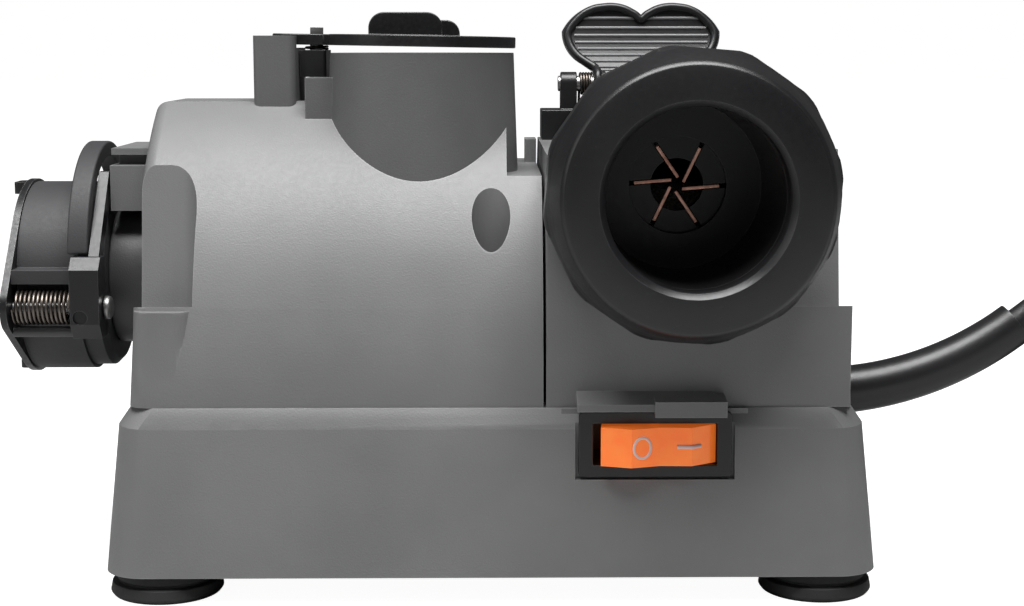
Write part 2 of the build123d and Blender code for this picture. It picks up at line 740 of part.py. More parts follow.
with BuildPart() as guard_ring:
    hoop_x = (-89.6, -85.2)
    rod_x(shaft_y, arch_z, 25.5, hoop_x)
    rod_x(shaft_y, arch_z, 21.9, hoop_x, mode=Mode.SUBTRACT)
    rod_x(shaft_y, shaft_z, drum_radius, hoop_x, mode=Mode.SUBTRACT)
    block(hoop_x, (-40, 40), (30, 69.3), mode=Mode.SUBTRACT)
    for side in (-1, 1):
        near = shaft_y + side * 21.0
        block(hoop_x, sorted((near, near + side * 2.4)), (69.3, 76))
    rod_x(shaft_y, shaft_z, drum_radius, hoop_x, mode=Mode.SUBTRACT)
guard_ring.part.label = "guard_ring"
export_step(guard_ring.part, "parts/guard_ring.step")

with BuildPart() as jig_end_plate:
    with BuildSketch(across(plate_x[0])):
        with Locations((shaft_y, shaft_z)):
            Circle(drum_radius + 0.6)
        with Locations((clamp_y, clamp_z)):
            Circle(5.2)
        make_hull()
    extrude(amount=plate_x[1] - plate_x[0])
    for tab_z in ((80.4, 83.0), (41.2, 43.0)):
        block((-left_reach, plate_x[0]), (shaft_y - 3.5, shaft_y + 3.5), tab_z)
    fillet(jig_end_plate.edges().filter_by(Axis.Z).group_by(Axis.X)[0], 1.2)
jig_end_plate.part.label = "jig_end_plate"
export_step(jig_end_plate.part, "parts/jig_end_plate.step")

pin_radius = 1.2
with BuildPart() as clamp_arm:
    with BuildSketch(across(clamp_x[0])):
        with BuildLine():
            Polyline((-25.4, 51.7), (-31.4, 51.7), (-34.0, 55.0), (-34.0, 66.5), (-31.5, 69.0),
                     (-27.4, 69.0), (-26.3, 64.0), (-25.4, 60.0), (-25.4, 51.7))
        make_face()
    extrude(amount=clamp_x[1] - clamp_x[0])
    with BuildSketch(across(lever_x[0])):
        with BuildLine():
            Polyline((-30.4, 62.0), (-14.4, 83.5), (-14.4, 86.0), (-17.0, 86.0), (-34.0, 64.0),
                     (-30.4, 62.0))
        make_face()
    extrude(amount=lever_x[1] - lever_x[0])
    rod_x(clamp_y, clamp_z, pin_radius + 0.05, (-95, -80), mode=Mode.SUBTRACT)
    with Locations(Plane(origin=spot(-86.2, -34, 56.4), z_dir=(0, -1, 0))):
        Hole(1.5, 0.8)
clamp_arm.part.label = "clamp_arm"
export_step(clamp_arm.part, "parts/clamp_arm.step")

with BuildPart() as clamp_screw:
    rod_x(clamp_y, clamp_z, pin_radius, (plate_x[1], -82.0))
    rod_x(clamp_y, clamp_z, 2.5, (-82.0, -80.4))
    fillet(clamp_screw.edges().filter_by(GeomType.CIRCLE).sort_by(Axis.X)[-1], 0.9)
clamp_screw.part.label = "clamp_screw"
export_step(clamp_screw.part, "parts/clamp_screw.step")

with BuildPart() as clamp_spring:
    with BuildSketch(across(-101.2)):
        with Locations((clamp_y, clamp_z)):
            Circle(3.75)
            Circle(3.1, mode=Mode.SUBTRACT)
    extrude(amount=12.5)
clamp_spring.part.label = "clamp_spring"
export_step(clamp_spring.part, "parts/clamp_spring.step")

with BuildPart() as tie_rod:
    rod_x(-28.6, 52.8, 1.15, (plate_x[1], clamp_x[0] - 0.3))
tie_rod.part.label = "tie_rod"
export_step(tie_rod.part, "parts/tie_rod.step")

# ---- drill chuck ---------------------------------------------------------------------------
chuck_bore = 17.8
ring_face = -front_reach
ring_back = -48.5
collar_face = -61.3         # front end of the fixed collar inside the ring
cover_y = (-28.0, -26.1)    # ring-shaped cover in front of the jaws
plate_y = (-26.0, -24.0)
wheel_room = 22.3           # nothing of the chuck comes nearer the shaft's axis than this
jaw_inner = 1.0
jaw_outer = 9.1
jaw_offset = 1.05           # the jaws pass beside the axis, like a pinwheel
jaw_width = 0.8
jaw_turn = 4.6

with BuildPart() as chuck_body:
    rod_y(chuck_x, chuck_z, nose_radius, (collar_face, -body_front))
    rod_y(chuck_x, chuck_z, throat_radius, (-body_front, plate_y[1]))
    rod_y(chuck_x, chuck_z, chuck_bore, (-70, cover_y[0]), mode=Mode.SUBTRACT)
    rod_y(chuck_x, chuck_z, 10.3, (-30, -20), mode=Mode.SUBTRACT)
    rod_y(chuck_x, chuck_z, chuck_bore, (plate_y[0], -20), mode=Mode.SUBTRACT)
    rod_x(shaft_y, shaft_z, wheel_room, (31, 48), mode=Mode.SUBTRACT)
chuck_body.part.label = "chuck_body"
export_step(chuck_body.part, "parts/chuck_body.step")

with BuildPart() as chuck_ring:
    with BuildSketch(Plane(origin=spot(chuck_x, 0, chuck_z), x_dir=(0, 1, 0), z_dir=(1, 0, 0))):
        with BuildLine():
            Polyline((ring_face, 19.0), (ring_face, 25.6), (ring_face + 0.8, 26.3),
                     (-60.5, 28.4), (-56.5, 29.5), (-51.0, 29.5), (ring_back, 28.6),
                     (ring_back, nose_radius + 0.1), (collar_face - 0.3, nose_radius + 0.1),
                     (collar_face - 0.3, chuck_bore), (ring_face + 1.2, chuck_bore),
                     (ring_face, 19.0))
        make_face()
    revolve(axis=Axis(spot(chuck_x, 0, chuck_z), (0, 1, 0)))
chuck_ring.part.label = "chuck_ring"
export_step(chuck_ring.part, "parts/chuck_ring.step")

jaw_angles = [jaw_turn + 360 / jaw_count * number for number in range(jaw_count)]


def jaw_plane(y, angle):
    """An upright plane on the chuck's axis whose first direction runs out along one jaw."""
    slope = radians(angle)
    return Plane(origin=spot(chuck_x, y, chuck_z), x_dir=(cos(slope), 0, sin(slope)),
                 z_dir=(0, -1, 0))


with BuildPart() as jaw_plate:
    rod_y(chuck_x, chuck_z, chuck_bore - 0.1, plate_y)
    rod_y(chuck_x, chuck_z, 5.6, (-30, -20), mode=Mode.SUBTRACT)
    for angle in jaw_angles:
        with BuildSketch(jaw_plane(plate_y[1] + 1, angle)):
            with Locations((7.1, -jaw_offset)):
                Rectangle(14.4, jaw_width + 0.2)
        extrude(amount=8, mode=Mode.SUBTRACT)
    rod_x(shaft_y, shaft_z, wheel_room, (31, 48), mode=Mode.SUBTRACT)
jaw_plate.part.label = "jaw_plate"
export_step(jaw_plate.part, "parts/jaw_plate.step")

for number, angle in enumerate(jaw_angles, start=1):
    with BuildPart() as jaw:
        with BuildSketch(jaw_plane(plate_y[1] - 0.1, angle)):
            with Locations(((jaw_inner + jaw_outer) / 2, -jaw_offset)):
                Rectangle(jaw_outer - jaw_inner, jaw_width)
        extrude(amount=1.8)
    jaw.part.label = f"jaw_{number}"
    export_step(jaw.part, f"parts/jaw_{number}.step")

# ---- heart-shaped thumb paddle ---------------------------------------------------------------
hub_half = 11.5
bracket_half = 23.7
ear_inner = 15.4            # from the paddle's middle to the inner face of each bracket ear
ear_outer = 19.2
hinge_radius = 1.8

with BuildPart() as paddle_bracket:
    block((paddle_x - bracket_half, paddle_x + bracket_half), (11.0, 27.0), (tower_top, 98.3))
    for side in (-1, 1):
        near = sorted((paddle_x + side * ear_inner, paddle_x + side * ear_outer))
        block(near, (hinge_y - 2.7, hinge_y + 3.5), (98.3, hinge_z))
        rod_x(hinge_y, hinge_z, 2.7, near)
    rod_x(hinge_y, hinge_z, hinge_radius, (0, 80), mode=Mode.SUBTRACT)
paddle_bracket.part.label = "paddle_bracket"
export_step(paddle_bracket.part, "parts/paddle_bracket.step")

with BuildPart() as paddle_pin:
    rod_x(hinge_y, hinge_z, hinge_radius, (paddle_x - ear_outer - 0.6, paddle_x + ear_outer + 0.6))
paddle_pin.part.label = "paddle_pin"
export_step(paddle_pin.part, "parts/paddle_pin.step")

with BuildPart() as heart_paddle:
    with BuildSketch(across(paddle_x - 25)):
        with BuildLine():
            outer = ThreePointArc((13.0, 99.6), (21.8, 109.0), (26.0, 124.0))
            inner = ThreePointArc((10.8, 101.6), (18.9, 110.2), (22.9, 124.0))
            Line(outer @ 1, inner @ 1)
            Line(outer @ 0, inner @ 0)
        make_face()
    extrude(amount=50)
    with BuildSketch(facing(60)):
        with BuildLine():
            for side in (-1, 1):
                ThreePointArc((paddle_x, 120.2), (paddle_x + side * 11.4, 122.5),
                              (paddle_x + side * 18.6, 116.4))
                ThreePointArc((paddle_x + side * 18.6, 116.4), (paddle_x + side * 17.4, 111.8),
                              (paddle_x + side * 14.4, 108.9))
                Line((paddle_x + side * 14.4, 108.9), (paddle_x, 99.0))
        make_face()
    extrude(amount=90, mode=Mode.INTERSECT)
    rod_x(hinge_y, hinge_z, 3.1, (paddle_x - hub_half, paddle_x + hub_half))
    rod_x(hinge_y, hinge_z, hinge_radius + 0.05, (0, 80), mode=Mode.SUBTRACT)
heart_paddle.part.label = "heart_paddle"
export_step(heart_paddle.part, "parts/heart_paddle.step")

with BuildPart() as paddle_spring:
    for side in (-1, 1):
        near = sorted((paddle_x + side * (hub_half + 0.3), paddle_x + side * (ear_inner - 0.2)))
        rod_x(hinge_y, hinge_z, 2.9, near)
    rod_x(hinge_y, hinge_z, hinge_radius + 0.2, (0, 80), mode=Mode.SUBTRACT)
paddle_spring.part.label = "paddle_spring"
export_step(paddle_spring.part, "parts/paddle_spring.step")

# ---- mains lead -----------------------------------------------------------------------------
sleeve_turn = radians(38.0)     # how far the bend protector curves upwards
sleeve_start = 75.9
sleeve_bend = 76.0              # radius of that curve
sleeve_radii = (5.65, 5.1)


def sleeve_point(turn):
    """A point on the bend protector's centre line after some of its turn."""
    return (sleeve_start + sleeve_bend * sin(turn), sleeve_y,
            sleeve_z + sleeve_bend * (1 - cos(turn)))


with BuildPart() as cord_sleeve:
    with BuildLine():
        ThreePointArc(spot(*sleeve_point(0)), spot(*sleeve_point(sleeve_turn / 2)),
                      spot(*sleeve_point(sleeve_turn)))
    for turn, radius in zip((0, sleeve_turn), sleeve_radii):
        with BuildSketch(Plane(origin=spot(*sleeve_point(turn)),
                               z_dir=(cos(turn), 0, sin(turn)))):
            Circle(radius)
    sweep(multisection=True)
    rod_x(sleeve_y, sleeve_z, sleeve_radii[0], (70.2, sleeve_start))
    block((69.4, 72.4), (sleeve_y - 8, sleeve_y + 8), (25.4, 37.0))
cord_sleeve.part.label = "cord_sleeve"
export_step(cord_sleeve.part, "parts/cord_sleeve.step")

sleeve_tip = sleeve_point(sleeve_turn)
lead_route = [
    sleeve_tip,
    (138.45, 7.0, 61.22),
    (156.5, 5.0, 66.6),
    (176.0, 1.5, 64.2),
    (194.0, 0.0, 54.6),
    (208.5, 4.5, 40.4),
    (219.0, 14.5, 26.0),
    (225.5, 27.5, 13.8),
    (228.6, 41.5, 6.2),
    (229.0, 56.0, 3.4),
]


def corner_radii(route):
    """The largest tangent arc that each corner of a route has room for, with some to spare."""
    radii = []
    for before, here, after in zip(route, route[1:], route[2:]):
        into = Vector(*here) - Vector(*before)
        out = Vector(*after) - Vector(*here)
        half_turn = radians(into.get_angle(out)) / 2
        radii.append(0.45 * min(into.length, out.length) / tan(half_turn))
    return radii


def tube(route, radius):
    """A round cord along straight runs joined by tangent arcs."""
    radii = corner_radii(route)
    print("bend radii:", [round(value, 1) for value in radii])
    with BuildLine() as path:
        FilletPolyline(*[spot(*point) for point in route], radius=radii)
    start = Vector(*route[1]) - Vector(*route[0])
    with BuildSketch(Plane(origin=spot(*route[0]), z_dir=start)) as section:
        Circle(radius)
    tube_part = sweep(section.sketch, path=path.wire())
    print("volume:", round(tube_part.volume, 1),
          "section times length:", round(section.sketch.area * path.wire().length, 1))


coil_centre = (191.0, 55.0)
coil_middle = 38.0              # radius at the middle of the turns
coil_pitch = 2 * cord_radius
coil_layers = 4
coil_height = coil_layers * coil_pitch
coil_inner = coil_middle - coil_pitch
coil_outer = coil_middle + coil_pitch

with BuildPart() as cord:
    tube(lead_route, cord_radius)
cord.part.label = "cord"
export_step(cord.part, "parts/cord.step")

with BuildPart() as cord_coil:
    with BuildSketch(level(0)):
        with Locations(coil_centre):
            Circle(coil_outer)
            Circle(coil_inner, mode=Mode.SUBTRACT)
    extrude(amount=coil_height)
    fillet(cord_coil.edges().filter_by(GeomType.CIRCLE), 2.5)
cord_coil.part.label = "cord_coil"
export_step(cord_coil.part, "parts/cord_coil.step")


def on_coil(angle, radius, height):
    """A place above the floor at an angle round the coil."""
    turn = radians(angle)
    return (coil_centre[0] + radius * cos(turn), coil_centre[1] + radius * sin(turn), height)


plug_height = coil_height + 7.0
plug_back = (225.0, 48.5, plug_height)
tail_route = [
    on_coil(-130, 38.0, coil_height + 0.6),
    (180.0, 19.2, coil_height + 2.0),
    (195.0, 18.5, coil_height + 3.4),
    (209.0, 23.9, coil_height + 5.0),
    (219.6, 34.5, coil_height + 6.4),
    plug_back,
]

with BuildPart() as cord_tail:
    tube(tail_route, cord_radius)
cord_tail.part.label = "cord_tail"
export_step(cord_tail.part, "parts/cord_tail.step")

plug_direction = Vector(*plug_back) - Vector(*tail_route[-2])
plug_plane = Plane(origin=spot(*plug_back), x_dir=(-plug_direction.Y, plug_direction.X, 0),
                   z_dir=plug_direction)

with BuildPart() as plug_body:
    with BuildSketch(plug_plane):
        Circle(4.2)
    with BuildSketch(plug_plane.offset(9)):
        RectangleRounded(20, 11, 4)
    with BuildSketch(plug_plane.offset(18)):
        RectangleRounded(34, 13.6, 5)
    with BuildSketch(plug_plane.offset(30)):
        RectangleRounded(35.2, 13.8, 5)
    loft()
plug_body.part.label = "plug_body"
export_step(plug_body.part, "parts/plug_body.step")

with BuildPart() as plug_pins:
    with BuildSketch(plug_plane.offset(30)):
        with GridLocations(18.6, 0, 2, 1):
            Circle(2.0)
    extrude(amount=19)
plug_pins.part.label = "plug_pins"
export_step(plug_pins.part, "parts/plug_pins.step")

tie_angle = 250
with BuildPart() as cord_tie:
    tie_plane = Plane(origin=spot(*on_coil(tie_angle, coil_middle, coil_height / 2 + 0.3)),
                      x_dir=(cos(radians(tie_angle)), sin(radians(tie_angle)), 0),
                      z_dir=(-sin(radians(tie_angle)), cos(radians(tie_angle)), 0))
    with BuildSketch(tie_plane):
        RectangleRounded(2 * coil_pitch + 3.0, coil_height + 0.6, 3.2)
        RectangleRounded(2 * coil_pitch + 0.4, coil_height - 1.6, 2.6, mode=Mode.SUBTRACT)
    extrude(amount=4, both=True)
cord_tie.part.label = "cord_tie"
export_step(cord_tie.part, "parts/cord_tie.step")
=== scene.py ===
"""Looks of the electric multi-purpose sharpener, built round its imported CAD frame.

Metres throughout.  Places that belong to the machine are given from the middle of its base,
as in the part's source, and spot() moves them to the model's frame.
"""
import json
import math

import bmesh
import bpy
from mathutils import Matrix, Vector
from mathutils.bvhtree import BVHTree


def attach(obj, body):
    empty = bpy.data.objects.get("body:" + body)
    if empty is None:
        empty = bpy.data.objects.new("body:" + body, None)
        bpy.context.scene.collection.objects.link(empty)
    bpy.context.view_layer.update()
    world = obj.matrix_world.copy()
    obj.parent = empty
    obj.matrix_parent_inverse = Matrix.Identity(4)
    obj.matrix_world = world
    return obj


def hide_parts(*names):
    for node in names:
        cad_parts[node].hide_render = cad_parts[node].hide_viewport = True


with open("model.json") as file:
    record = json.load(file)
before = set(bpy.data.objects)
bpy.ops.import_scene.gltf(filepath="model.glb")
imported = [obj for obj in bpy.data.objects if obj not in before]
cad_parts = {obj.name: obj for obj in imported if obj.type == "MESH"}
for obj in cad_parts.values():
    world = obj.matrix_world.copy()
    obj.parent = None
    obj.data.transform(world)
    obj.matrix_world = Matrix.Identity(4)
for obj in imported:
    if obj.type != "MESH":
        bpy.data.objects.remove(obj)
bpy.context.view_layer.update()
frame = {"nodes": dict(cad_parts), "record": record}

BASE_X = 0.01315                # the middle of the base, in the model's frame
BASE_Y = 0.0075
MM = 0.001


def spot(x, y, z):
    """A place given from the middle of the base, in the model's frame."""
    return Vector((BASE_X + x, BASE_Y + y, z))


# ---- camera, light and floor ---------------------------------------------------------------
LENS_LENGTH = 63.28             # millimetres, like the sensor's width
SENSOR_WIDTH = 36.0
NEAREST = 0.01                  # the camera sees nothing nearer or farther than these
FARTHEST = 20.0
CAMERA_PLACE = (0.0, -0.408, 0.1125)
LOOKS_DOWN = 8.06               # degrees below level
LOOKS_RIGHT = 0.67              # degrees to the right of straight ahead

BACKDROP_LIGHT = 0.10           # strength of the white backdrop as a light
FLOOR_REACH = 6.0
FLOOR_GREY = 0.42
FLOOR_ROUGHNESS = 0.6
FADE_START = 0.10               # distances from the middle where the floor's glow grows to white
FADE_END = 0.35
LEAST_GLOW = 0.96


def make_camera():
    """The photograph's camera, worked out from its vanishing lines."""
    data = bpy.data.cameras.new("camera")
    data.lens = LENS_LENGTH
    data.sensor_width = SENSOR_WIDTH
    data.clip_start = NEAREST
    data.clip_end = FARTHEST
    camera = bpy.data.objects.new("camera", data)
    camera.location = spot(*CAMERA_PLACE)
    camera.rotation_euler = (math.radians(90 - LOOKS_DOWN), 0.0, math.radians(-LOOKS_RIGHT))
    bpy.context.scene.collection.objects.link(camera)
    bpy.context.scene.camera = camera


def area_light(name, place, target, size, watts):
    """A white rectangular light that faces a target."""
    data = bpy.data.lights.new(name, "AREA")
    data.shape = "RECTANGLE"
    data.size, data.size_y = size
    data.energy = watts
    lamp = bpy.data.objects.new(name, data)
    lamp.location = place
    lamp.rotation_euler = (Vector(target) - Vector(place)).to_track_quat("-Z", "Y").to_euler()
    bpy.context.scene.collection.objects.link(lamp)


def camera_sees_white(tree, seen, lit):
    """A strength that is one value for the camera's own rays and another for bounced light."""
    path = tree.nodes.new("ShaderNodeLightPath")
    choose = tree.nodes.new("ShaderNodeMapRange")
    choose.inputs["To Min"].default_value = lit
    choose.inputs["To Max"].default_value = seen
    tree.links.new(path.outputs["Is Camera Ray"], choose.inputs["Value"])
    return choose.outputs["Result"]


def make_world():
    """A backdrop that looks white and lights the machine only softly."""
    world = bpy.data.worlds.new("studio")
    world.use_nodes = True
    tree = world.node_tree
    backdrop = tree.nodes["Background"]
    backdrop.inputs["Color"].default_value = (1.0, 1.0, 1.0, 1)
    tree.links.new(camera_sees_white(tree, 1.0, BACKDROP_LIGHT), backdrop.inputs["Strength"])
    bpy.context.scene.world = world


def make_floor():
    """A white floor that fades into the white backdrop away from the machine."""
    mesh = bpy.data.meshes.new("floor")
    signs = [(-1, -1), (1, -1), (1, 1), (-1, 1)]
    corners = [(x * FLOOR_REACH, y * FLOOR_REACH, 0) for x, y in signs]
    mesh.from_pydata(corners, [], [(0, 1, 2, 3)])
    floor = bpy.data.objects.new("floor", mesh)
    bpy.context.scene.collection.objects.link(floor)
    material = bpy.data.materials.new("pale_floor")
    material.use_nodes = True
    tree = material.node_tree
    shader = tree.nodes["Principled BSDF"]
    shader.inputs["Base Color"].default_value = (FLOOR_GREY, FLOOR_GREY, FLOOR_GREY, 1)
    shader.inputs["Roughness"].default_value = FLOOR_ROUGHNESS
    shader.inputs["Emission Color"].default_value = (1, 1, 1, 1)
    place = tree.nodes.new("ShaderNodeTexCoord")
    distance = tree.nodes.new("ShaderNodeVectorMath")
    distance.operation = "LENGTH"
    fade = tree.nodes.new("ShaderNodeMapRange")
    fade.inputs["From Min"].default_value = FADE_START
    fade.inputs["From Max"].default_value = FADE_END
    fade.inputs["To Min"].default_value = LEAST_GLOW
    product = tree.nodes.new("ShaderNodeMath")
    product.operation = "MULTIPLY"
    tree.links.new(place.outputs["Object"], distance.inputs[0])
    tree.links.new(distance.outputs["Value"], fade.inputs["Value"])
    tree.links.new(fade.outputs["Result"], product.inputs[0])
    tree.links.new(camera_sees_white(tree, 1.0, 0.0), product.inputs[1])
    tree.links.new(product.outputs["Value"], shader.inputs["Emission Strength"])
    mesh.materials.append(material)


def make_studio():
    """White all round, a broad soft light overhead and a weak one from the left."""
    bpy.context.scene.view_settings.view_transform = "Standard"
    make_world()
    make_floor()
    area_light("top_light", place=(0.0, -0.24, 0.92), target=(0.0, -0.02, 0.06),
               size=(0.80, 0.50), watts=17.0)
    area_light("left_light", place=(-0.80, -0.35, 0.45), target=(0.0, 0.0, 0.06),
               size=(0.5, 0.6), watts=1.1)


# ---- materials -----------------------------------------------------------------------------
BEVEL_SAMPLES = 6
EDGE_BEGINS = 0.985             # cosines between a face and its rounded normal where wear begins
EDGE_FULL = 0.88                # and where it is complete
POLISH_LOW = 0.3                # the range that most of a noise lies in
POLISH_HIGH = 0.7
DRIFT_GRAIN = 26 * MM           # patch sizes in plastics: slow colour drift,
RUB_GRAIN = 5 * MM              # rubbed stretches of an edge,
DUST_GRAIN = 0.9 * MM           # dust,
POLISH_GRAIN = 1.1 * MM         # and uneven polish
RUB_REACH = 0.45 * MM           # how far wear reaches in from an edge


class Surface:
    """A Principled material with short ways to add noise, wear and bump to it."""

    def __init__(self, name, roughness, metallic=0.0):
        self.material = bpy.data.materials.new(name)
        self.material.use_nodes = True
        self.tree = self.material.node_tree
        self.shader = self.tree.nodes["Principled BSDF"]
        self.shader.inputs["Roughness"].default_value = roughness
        self.shader.inputs["Metallic"].default_value = metallic
        self.place = self.tree.nodes.new("ShaderNodeTexCoord").outputs["Object"]

    def node(self, kind, **settings):
        """A new node with its settings."""
        made = self.tree.nodes.new(kind)
        for key, value in settings.items():
            setattr(made, key, value)
        return made

    def link(self, source, target):
        self.tree.links.new(source, target)

    def noise(self, grain, detail=2.0, stretch=(1, 1, 1)):
        """Noise whose features are about grain metres wide, stretched along the axes."""
        mapping = self.node("ShaderNodeMapping")
        mapping.inputs["Scale"].default_value = [1 / (grain * part) for part in stretch]
        self.link(self.place, mapping.inputs["Vector"])
        made = self.node("ShaderNodeTexNoise")
        made.inputs["Scale"].default_value = 1.0
        made.inputs["Detail"].default_value = detail
        self.link(mapping.outputs["Vector"], made.inputs["Vector"])
        return made.outputs["Fac"]

    def cells(self, grain):
        """Packed cells about grain metres wide."""
        mapping = self.node("ShaderNodeMapping")
        mapping.inputs["Scale"].default_value = (1 / grain,) * 3
        self.link(self.place, mapping.inputs["Vector"])
        made = self.node("ShaderNodeTexVoronoi")
        made.inputs["Scale"].default_value = 1.0
        self.link(mapping.outputs["Vector"], made.inputs["Vector"])
        return made

    def spread(self, value, low, high, low_to=0.0, high_to=1.0):
        """A value mapped from low..high to low_to..high_to."""
        made = self.node("ShaderNodeMapRange")
        made.inputs["From Min"].default_value = low
        made.inputs["From Max"].default_value = high
        made.inputs["To Min"].default_value = low_to
        made.inputs["To Max"].default_value = high_to
        self.link(value, made.inputs["Value"])
        return made.outputs["Result"]

    def blend(self, factor, first, second):
        """Two colours, or a colour socket and a colour, mixed by a factor."""
        made = self.node("ShaderNodeMix", data_type="RGBA")
        self.link(factor, made.inputs["Factor"])
        for key, colour in (("A", first), ("B", second)):
            socket = [s for s in made.inputs if s.name == key and s.type == "RGBA"][0]
            if isinstance(colour, bpy.types.NodeSocket):
                self.link(colour, socket)
            else:
                socket.default_value = (*colour, 1)
        return [s for s in made.outputs if s.type == "RGBA"][0]

    def times(self, first, second):
        """The product of two values."""
        made = self.node("ShaderNodeMath", operation="MULTIPLY")
        self.link(first, made.inputs[0])
        self.link(second, made.inputs[1])
        return made.outputs["Value"]

    def edges(self, width):
        """1 beside an edge, within a width of it, and 0 on flats."""
        bevel = self.node("ShaderNodeBevel", samples=BEVEL_SAMPLES)
        bevel.inputs["Radius"].default_value = width
        geometry = self.node("ShaderNodeNewGeometry")
        dot = self.node("ShaderNodeVectorMath", operation="DOT_PRODUCT")
        self.link(bevel.outputs["Normal"], dot.inputs[0])
        self.link(geometry.outputs["True Normal"], dot.inputs[1])
        return self.spread(dot.outputs["Value"], EDGE_BEGINS, EDGE_FULL)

    def bump(self, height, depth):
        """A height of 0 to 1 shown as a relief that is depth metres deep."""
        made = self.node("ShaderNodeBump")
        made.inputs["Distance"].default_value = depth
        made.inputs["Strength"].default_value = 1.0
        self.link(height, made.inputs["Height"])
        self.link(made.outputs["Normal"], self.shader.inputs["Normal"])

    def colour(self, socket):
        self.link(socket, self.shader.inputs["Base Color"])

    def polish(self, pattern, roughness, smoother, rougher):
        """Roughness that follows a noise between two values round the usual one."""
        made = self.spread(pattern, POLISH_LOW, POLISH_HIGH, roughness - smoother,
                           roughness + rougher)
        self.link(made, self.shader.inputs["Roughness"])


def plastic(name, dark, light, worn, roughness, grain, depth, wear=0.5, specks=0.0):
    """Moulded plastic: fine spark-eroded grain, slow colour drift, paler rubbed edges, dust."""
    look = Surface(name, roughness)
    drift = look.spread(look.noise(DRIFT_GRAIN, 3.0), 0.35, 0.65)
    base = look.blend(drift, dark, light)
    stretches = look.spread(look.noise(RUB_GRAIN), 0.3, 0.6, 0.0, wear)
    base = look.blend(look.times(look.edges(RUB_REACH), stretches), base, worn)
    if specks:
        dust = look.spread(look.noise(DUST_GRAIN, 1.0), 0.70, 0.78, 0.0, specks)
        base = look.blend(dust, base, worn)
    look.colour(base)
    look.polish(look.noise(POLISH_GRAIN), roughness, 0.03, 0.03)
    look.bump(look.noise(grain, 1.5), depth)
    return look.material


def metal(name, dark, light, roughness, stretch=(1, 1, 1), grain=0.25 * MM, depth=0.01 * MM):
    """Bare or plated metal: fine streaks, long ones where stretched, and darker stains."""
    look = Surface(name, roughness, metallic=1.0)
    streaks = look.noise(grain, 3.0, stretch)
    stains = look.spread(look.noise(4 * MM), 0.4, 0.7)
    look.colour(look.blend(stains, light, dark))
    look.polish(streaks, roughness, 0.08, 0.10)
    look.bump(streaks, depth)
    return look.material


def coated_sheet(name, colour, worn, roughness):
    """Thin sheet steel under black paint, with bright edges where the paint has gone."""
    look = Surface(name, roughness)
    stretches = look.spread(look.noise(3 * MM), 0.35, 0.6, 0.1, 0.8)
    rubbed = look.times(look.edges(0.3 * MM), stretches)
    look.colour(look.blend(rubbed, colour, worn))
    look.polish(look.noise(0.8 * MM), roughness, 0.06, 0.10)
    look.bump(look.noise(0.18 * MM), 0.012 * MM)
    return look.material


def grit(name, dark, light):
    """Bonded abrasive: packed grains of uneven colour with pores between them."""
    look = Surface(name, 0.85)
    grains = look.cells(0.55 * MM)
    tone = look.spread(grains.outputs["Distance"], 0.1, 0.75)
    base = look.blend(tone, light, dark)
    patch = look.spread(look.noise(3 * MM, 3.0), 0.45, 0.7, 0.0, 0.5)
    look.colour(look.blend(patch, base, dark))
    look.bump(grains.outputs["Distance"], 0.12 * MM)
    return look.material


def soft_cord(name, colour, worn, roughness):
    """Flexible PVC: faint lengthwise drag marks and a dull bloom."""
    look = Surface(name, roughness)
    bloom = look.spread(look.noise(7 * MM, 4.0), 0.45, 0.75, 0.0, 0.6)
    look.colour(look.blend(bloom, colour, worn))
    look.polish(look.noise(1.2 * MM), roughness, 0.08, 0.10)
    look.bump(look.noise(0.3 * MM), 0.01 * MM)
    return look.material


def orange_with_painted_glow(name):
    """Translucent orange plastic with a painted glow: a little emission stands in for light,
    though no lamp is in it.
    """
    look = Surface(name, 0.24)
    cloud = look.spread(look.noise(6 * MM), 0.35, 0.65)
    look.colour(look.blend(cloud, (1.0, 0.17, 0.020), (1.0, 0.25, 0.034)))
    # the Emission entries are a painted glow that brightens the rocker, not a lamp
    settings = {
        "Emission Color": (1.0, 0.20, 0.03, 1), "Emission Strength": 0.31,
        "Subsurface Weight": 0.35, "Subsurface Radius": (1.0, 0.35, 0.1),
        "Subsurface Scale": 0.002, "Coat Weight": 0.10, "Coat Roughness": 0.12,
    }
    for key, value in settings.items():
        look.shader.inputs[key].default_value = value
    look.bump(look.noise(0.7 * MM), 0.01 * MM)
    return look.material


